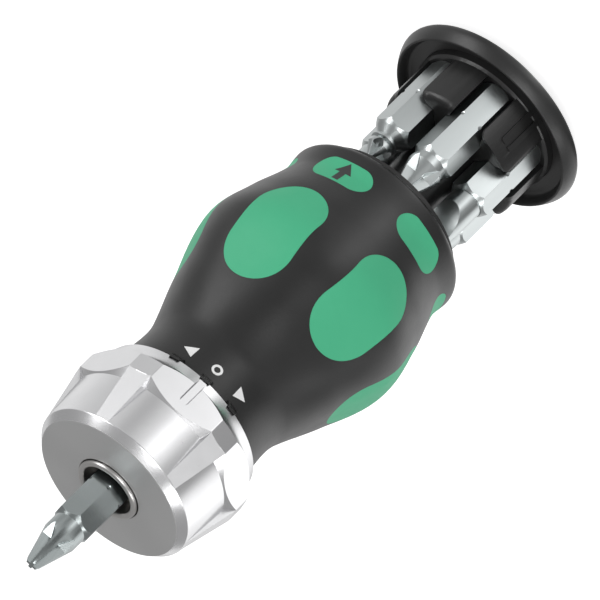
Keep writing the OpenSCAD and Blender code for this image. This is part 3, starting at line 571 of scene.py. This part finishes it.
def collar():
    """The hexagonal collar, with its corners cut off and both ends turned to a cone."""
    top = COLLAR_TOP + 1.6
    # the bar is longer than the turned shape, because a cut with faces in one plane comes out at random
    ring = prism("ring_body", 6, corner_r(COLLAR_R), RING_REAR - 1, top + 1, 30)
    edit(ring, "EDGE")
    pick(ring, lambda p, e: upright(e), "edges")
    bpy.ops.mesh.bevel(offset=2.502 * MM, segments=1, affect="EDGES")
    pick(ring, lambda p, e: upright(e), "edges")
    bpy.ops.mesh.bevel(offset=0.12 * MM, segments=3, affect="EDGES")
    leave()
    ends = grown("collar_ends", [(14.5, RING_REAR), (COLLAR_R, RING_REAR + 1.9), (17, RING_REAR + 3.9),
                                 (17, COLLAR_TOP - 0.8), (14.9, top)], 144)
    combine_flat(ring, ends, "INTERSECT")
    return ring


def fluted_cone():
    """The cone that the flutes' floors lie on, with its bevelled face."""
    return grown("flutes", [(15.1, COLLAR_TOP - 1), (15.1, COLLAR_TOP), (14.42, FLUTE_TOP - 0.16),
                            (14.39, FLUTE_TOP - 0.04), (14.31, FLUTE_TOP + 0.08), (13.28, RING_FRONT - 0.1),
                            (13.17, RING_FRONT - 0.03), (13.04, RING_FRONT)], 144)


def index_groove():
    """A tool for the collar's index groove: its end is round, its walls slope, and it is open to the rear."""
    end_z, depth = RING_REAR + 5.2, 0.4
    deselect()
    bpy.ops.mesh.primitive_cone_add(vertices=32, radius1=1.1 * MM, radius2=0.6 * MM, depth=1 * MM,
                                    rotation=(math.radians(-90), 0, 0),
                                    location=(0, -(COLLAR_R - depth + 0.5) * MM, end_z * MM))
    groove = added("groove")
    settle(groove)
    edit(groove)
    pick(groove, lambda p, v: p.z < end_z * MM)
    bpy.ops.transform.translate(value=(0, 0, -7 * MM))
    leave()
    return groove


def land():
    """One of the six bars between the flutes: it starts flush with a corner of the collar and leans inwards."""
    low, high = COLLAR_TOP - 0.16, FLUTE_TOP - 0.05
    low_w, high_w = 4.2, 2.5
    piece = box("land", (3.3, low_w, high - low), (14.65, 0, (high + low) / 2))
    settle(piece)
    edit(piece)
    pick(piece, lambda p, v: p.z > high * MM - 1e-6)
    bpy.ops.transform.resize(value=(1, high_w / low_w, 1), center_override=(0, 0, high * MM))
    pick(piece, lambda p, v: p.z > high * MM - 1e-6 and p.x > 14 * MM)
    bpy.ops.transform.translate(value=(-1.93 * MM, 0, 0))
    pick(piece, lambda p, e: upright(e) and p.x > 14.5 * MM, "edges")
    bpy.ops.mesh.bevel(offset=0.16 * MM, segments=3, affect="EDGES")
    pick(piece, lambda p, f: p.z < low * MM + 1e-6, "faces")
    bpy.ops.mesh.extrude_region_move(TRANSFORM_OT_translate={"value": (-0.06 * MM, 0, -0.5 * MM)})
    leave()
    return piece


def all_lands():
    first = land()
    lands = [first] + [copied(first, SIXTH * i) for i in range(1, 6)]
    deselect()
    for piece in lands:
        piece.select_set(True)
    bpy.context.view_layer.objects.active = first
    bpy.ops.object.join()
    return first


def hollow(ring):
    """Cuts the room behind, the bore, and places for the wire clip, the detent's hump and the cam's tabs."""
    for name, outline in [
            ("room", [(12.6, RING_REAR - 1), (12.6, RING_FRONT - 3.3)]),
            ("bore", [(5.76, 90), (5.76, RING_FRONT - 0.1), (5.9, RING_FRONT + 0.04), (6, RING_FRONT + 1)]),
            ("clip_room", [(13.1, 83.45), (13.1, 84.55)])]:
        combine_flat(ring, grown(name, outline, 96), "DIFFERENCE")
    hump_r, hump_z = 12.05, 89.1
    for step in (-1, 0, 1):
        side = math.radians(INDEX_SIDE + step * SELECTOR_TURN)
        place = (hump_r * math.cos(side), hump_r * math.sin(side), hump_z)
        combine_flat(ring, rod("hump_room", 32, 1.02, 4.2, place), "DIFFERENCE")
    for side in (90, 210, 330):
        tab = box("tab_room", (2, 3.1, 1.1), (12.17, 0, 94.43))
        turn_round(tab, side)
        combine_flat(ring, tab, "DIFFERENCE")


def selector_ring():
    ring = collar()
    combine_flat(ring, fluted_cone(), "UNION")
    combine_flat(ring, index_groove(), "DIFFERENCE")
    combine_flat(ring, all_lands(), "UNION")
    hollow(ring)
    edit_all(ring)
    bpy.ops.mesh.dissolve_limited(angle_limit=math.radians(0.3))
    leave()
    even_shading(ring, 30)
    ring.name = "fluted_ring"
    seat(ring, "selector", "satin_chrome", "selector_ring")


selector_ring()


# Magazine's carrier, as a copy of the drawn piece with its edges broken a little

def edged(node, width, body, angle=25):
    source = nodes[node]
    piece = source.copy()
    piece.data = source.data.copy()
    piece.name = piece.data.name = node + "_edged"
    bpy.context.scene.collection.objects.link(piece)
    piece.parent = None
    for key in list(piece.keys()):
        del piece[key]
    edit_all(piece)
    bpy.ops.mesh.remove_doubles(threshold=0.002 * MM)
    bpy.ops.mesh.dissolve_limited(angle_limit=math.radians(0.6))
    leave()
    soften(piece, width, angle, 2)
    seat(piece, body, slots[node], node)


edged("magazine_carrier", 0.15, "magazine")


# Spindle: its shaft, the seat of the gear and the nose with a rounded lip

def spindle():
    shaft = [(3.8, 65.3), (4.2, 65.7), (4.2, 66.33), (3.4, 66.35), (3.4, 67.25), (4.2, 67.27), (4.2, 86.33),
             (5.0, 86.35), (5.0, 91.83), (5.5, 91.85), (5.5, 95.3), (5.62, 95.35), (5.62, 98.3)]
    lip_r, lip_z, lip_round = 5.12, 98.5, 0.54
    lip = [(lip_r + lip_round * math.cos(a), lip_z + lip_round * math.sin(a))
           for a in (math.radians(t) for t in range(-15, 181, 15))]
    mouth = [(4.52, 97.6), (4.45, 96.9), (4.4, 94)]
    piece = grown("spindle_turned", shaft + lip + mouth, 96)
    combine(piece, prism("hex_tool", 6, corner_r(CHUCK_FLAT_R), CHUCK_Z, 99, CHUCK_TURN), "DIFFERENCE")
    combine(piece, grown("magnet_tool", [(2.81, 89), (2.81, 93)], 64), "DIFFERENCE")
    tidy(piece)
    smooth(piece, 40)
    seat(piece, "spindle", "spindle_steel", "spindle")


spindle()


# Bits, each made standing at the origin with its tip up

def bit_body(name, body_l):
    piece = prism(name, 6, corner_r(BIT_FLAT_R), 0, body_l)
    wide_r = 3.775
    ends = grown("bit_ends", [(2.975, -0.01), (wide_r, 0.8), (wide_r, body_l - 1.1), (SHANK_R, body_l + 0.01)], 72)
    combine(piece, ends, "INTERSECT")
    return piece


def add_tip(piece, name, outline):
    combine(piece, grown(name, outline, 72), "UNION")


def notch(piece):
    """The round groove of the shank."""
    deselect()
    bpy.ops.mesh.primitive_torus_add(major_radius=4.175 * MM, minor_radius=0.68 * MM, major_segments=72,
                                     minor_segments=20, location=(0, 0, 8 * MM))
    combine(piece, added("notch_tool"), "DIFFERENCE")


def turned_cut(piece, count, first, tool):
    for i in range(count):
        combine(piece, copied(tool, first + 360 / count * i), "DIFFERENCE")
    bpy.data.objects.remove(tool)


def flute_tool(root_r, lean, tip_z, length):
    """A square bar that stands on its edge and leans outwards, with its low end run out, to cut a V flute."""
    side = 8
    tool = box("flute_tool", (side, side, length + 1), (side / 2, side / 2, (1 - length) / 2))
    settle(tool)
    turn_round(tool, -45)
    edit(tool, "FACE")
    pick(tool, lambda p, f: p.z < (0.1 - length) * MM, "faces")
    bpy.ops.mesh.extrude_region_move(TRANSFORM_OT_translate={"value": (4 * MM, 0, -5.6 * MM)})
    leave()
    tool.matrix_world = Matrix.Translation((root_r * MM, 0, tip_z * MM)) @ Matrix.Rotation(-lean, 4, "Y")
    settle(tool)
    tidy(tool)
    return tool


def cross_bit(name, top_r, wing_r, point_l, body_l):
    piece = bit_body(name, body_l)
    add_tip(piece, "cross_tip", [(SHANK_R, body_l - 1), (SHANK_R, body_l), (wing_r, BIT_L - point_l),
                                 (top_r + 0.35, BIT_L - 0.7), (top_r, BIT_L)])
    turned_cut(piece, 4, 45, flute_tool(top_r * 0.45, math.radians(7), BIT_L, point_l - 1.5))
    notch(piece)
    return piece


def short_cross_bit(name, top_r, wing_r, body_l):
    """A cross bit that is shorter than the rest, with a collar on its neck."""
    full_l, collar_z, neck_r, collar_r = BIT_L - 4, body_l + 1.5, 1.85, 2.35
    tip_l = full_l - collar_z - 1
    piece = bit_body(name, body_l)
    add_tip(piece, "short_tip", [
        (SHANK_R, body_l - 1), (SHANK_R, body_l), (neck_r, collar_z - 0.4), (neck_r, collar_z),
        (collar_r - 0.1, collar_z + 0.02), (collar_r, collar_z + 0.12), (collar_r, collar_z + 0.4),
        (collar_r - 0.1, collar_z + 0.5), (neck_r, collar_z + 0.7), (wing_r, collar_z + 1),
        (wing_r, full_l - tip_l * 0.75), (top_r, full_l)])
    turned_cut(piece, 4, 45, flute_tool(top_r * 0.6, math.radians(12), full_l, tip_l - 0.8))
    notch(piece)
    return piece


def slotted_bit(name, blade_w, blade_t):
    body_l, scoop_r = BIT_L - 10, 9
    piece = bit_body(name, body_l)
    add_tip(piece, "blade_shank", [(blade_w / 2, body_l - 1), (blade_w / 2, BIT_L)])
    for side in (-1, 1):
        scoop = rod("scoop_tool", 96, scoop_r, 16, (0, side * (blade_t / 2 + scoop_r), BIT_L - 1.2), (0, 90, 0))
        combine(piece, scoop, "DIFFERENCE")
        blade = box("blade_tool", (11, 6, 2), (0, side * (blade_t / 2 + 3), BIT_L - 0.2))
        combine(piece, blade, "DIFFERENCE")
    notch(piece)
    return piece


def star_bit(name, tip_d, body_l):
    piece = bit_body(name, body_l)
    add_tip(piece, "star_tip", [(SHANK_R, body_l - 1), (SHANK_R, body_l + 1), (tip_d / 2, BIT_L - 4),
                                (tip_d / 2, BIT_L - 0.2), (tip_d / 2 - 0.2, BIT_L)])
    tool = rod("lobe_tool", 24, tip_d * 0.14, 5, (tip_d * 0.52, 0, BIT_L - 2.2))
    settle(tool)
    turned_cut(piece, 6, 0, tool)
    notch(piece)
    return piece


def put_bit(piece, node, turn, body="magazine", away=BIT_PLACE_R, low=BIT_PLACE_Z, look="bit_steel"):
    edit_all(piece)
    bpy.ops.mesh.remove_doubles(threshold=0.004 * MM)
    bpy.ops.mesh.dissolve_limited(angle_limit=math.radians(0.5))
    bpy.ops.mesh.normals_make_consistent(inside=False)
    leave()
    soften(piece, 0.05, 24, 2, 16)
    piece.matrix_world = Matrix.Translation((away * MM, 0, low * MM))
    turn_round(piece, turn)
    seat(piece, body, "bit_steel", node, look=look)


put_bit(short_cross_bit("small_cross", 0.5, 2.15, 15.5), "bit_cross_small", -30)
put_bit(cross_bit("large_cross", 0.9, 3.1, 6.5, 17), "bit_cross_large", -90)
put_bit(slotted_bit("slotted", 5.5, 0.8), "bit_slotted", -150)
put_bit(star_bit("large_star", 4.4, 16), "bit_star_large", 150)
put_bit(star_bit("small_star", 3.3, 15), "bit_star_small", 30)
# the drive bit has the bits' steel with painted shade, a darker copy of it
put_bit(cross_bit("chuck_cross", 0.95, 2.9, 6.8, 15.8), "drive_bit", CHUCK_TURN,
        body="drive_bit", away=0, low=CHUCK_Z, look="bit_steel_painted_shade")


# Floor, light and background

# Painted reflections on the floor, a glow seen only in reflections, as of cards round the tool: the angle about
# its axis, and the grey level.
# The near painted reflections end, and the far ones begin, at these distances from the axis in metres.
PAINTED_REFLECTION_STRENGTH = 2.4
NEAR_END, FAR_START = 0.34, 0.48
NEAR_PAINTED_REFLECTIONS = [
    (-180, 0.63), (-170, 0.49), (-162, 0.13), (-150, 0.1), (-142, 0.19), (-126, 0.19), (-112, 0.5), (-100, 1),
    (-84, 0.44), (-60, 0.2), (-40, 0.35), (-24, 0.28), (35, 0.41), (90, 0.24), (140, 0.51), (156, 0.71),
    (180, 0.63)]
FAR_PAINTED_REFLECTIONS = [
    (-180, 0.55), (-135, 0.47), (-112, 0.4), (-104, 0.055), (-78, 0.055), (-66, 0.4), (35, 0.32), (180, 0.55)]


def ramp(tree, turn, levels):
    """Grey levels by the angle round the tool."""
    made = add_node(tree, "ValToRGB", {"Fac": turn})
    made.color_ramp.interpolation = "EASE"
    stops = made.color_ramp.elements
    while len(stops) < len(levels):
        stops.new(0.5)
    for stop, (angle, _) in zip(stops, levels):
        stop.position = (angle + 180) / 360
    for stop, (_, level) in zip(stops, levels):
        stop.color = (level, level, level, 1)
    return made.outputs["Color"]


def put_floor():
    deselect()
    bpy.ops.mesh.primitive_plane_add(size=6, location=(0, 0, -0.0002))
    floor = added("floor")
    settle(floor)
    material = bpy.data.materials.new("floor_white")
    material.use_nodes = True
    tree = material.node_tree
    tree.nodes.clear()
    out = tree.nodes.new("ShaderNodeOutputMaterial")
    rays = add_node(tree, "LightPath")
    # to the camera it is matt and lifted to white
    matt = add_node(tree, "BsdfDiffuse", {"Color": (0.8, 0.8, 0.8, 1)})
    lift = add_node(tree, "Math", {0: rays.outputs["Is Camera Ray"], 1: 0.75}, operation="MULTIPLY")
    glow = add_node(tree, "Emission", {"Color": (1, 1, 1, 1), "Strength": lift.outputs["Value"]})
    both = add_node(tree, "AddShader", {0: matt.outputs["BSDF"], 1: glow.outputs["Emission"]})
    # in reflections it glows unevenly: painted reflections, as of cards round the tool
    place = add_node(tree, "TexCoord")
    round_about = add_node(tree, "TexGradient", {"Vector": place.outputs["Object"]}, gradient_type="RADIAL")
    near = ramp(tree, round_about.outputs["Fac"], NEAR_PAINTED_REFLECTIONS)
    far = ramp(tree, round_about.outputs["Fac"], FAR_PAINTED_REFLECTIONS)
    away = add_node(tree, "VectorMath", {0: place.outputs["Object"]}, operation="LENGTH")
    share = add_node(tree, "MapRange", {"Value": away.outputs["Value"], "From Min": NEAR_END,
                                        "From Max": FAR_START})
    painted_reflections = add_node(tree, "Mix", {"Factor": share.outputs["Result"], "A": near, "B": far}, data_type="RGBA")
    painted_reflection_glow = add_node(tree, "Emission", {"Color": painted_reflections.outputs["Result"], "Strength": PAINTED_REFLECTION_STRENGTH})
    glossy = add_node(tree, "Math", {0: rays.outputs["Is Glossy Ray"], 1: rays.outputs["Is Transmission Ray"]},
                      operation="MAXIMUM")
    either = add_node(tree, "MixShader", {"Fac": glossy.outputs["Value"], 1: both.outputs["Shader"],
                                          2: painted_reflection_glow.outputs["Emission"]})
    feed(tree, out, {"Surface": either.outputs["Shader"]})
    floor.data.materials.append(material)


def put_sky():
    """A white background that lights the tool less than it shows."""
    world = bpy.data.worlds.new("studio")
    world.use_nodes = True
    bpy.context.scene.world = world
    tree = world.node_tree
    rays = add_node(tree, "LightPath")
    level = add_node(tree, "MapRange", {"Value": rays.outputs["Is Camera Ray"], "To Min": 0.4, "To Max": 1.0})
    feed(tree, tree.nodes["Background"], {"Color": (1, 1, 1, 1), "Strength": level.outputs["Result"]})


def softbox(name, place, size, power):
    aim = (0, 0, 0.06)
    deselect()
    bpy.ops.object.light_add(type="AREA", location=place)
    lamp = bpy.context.object
    lamp.name = name
    lamp.data.shape = "RECTANGLE"
    lamp.data.size, lamp.data.size_y = size
    lamp.data.energy = power
    lamp.rotation_euler = (Vector(aim) - Vector(place)).to_track_quat("-Z", "Y").to_euler()


put_floor()
put_sky()
softbox("front_box", (-0.25, -0.9, 0.75), (0.5, 0.5), 4.5)
softbox("right_box", (0.8, -0.35, 0.35), (0.35, 0.6), 3.2)
softbox("left_box", (-0.8, -0.2, 0.5), (0.3, 0.6), 2)

view = bpy.context.scene.view_settings
view.view_transform = "Standard"
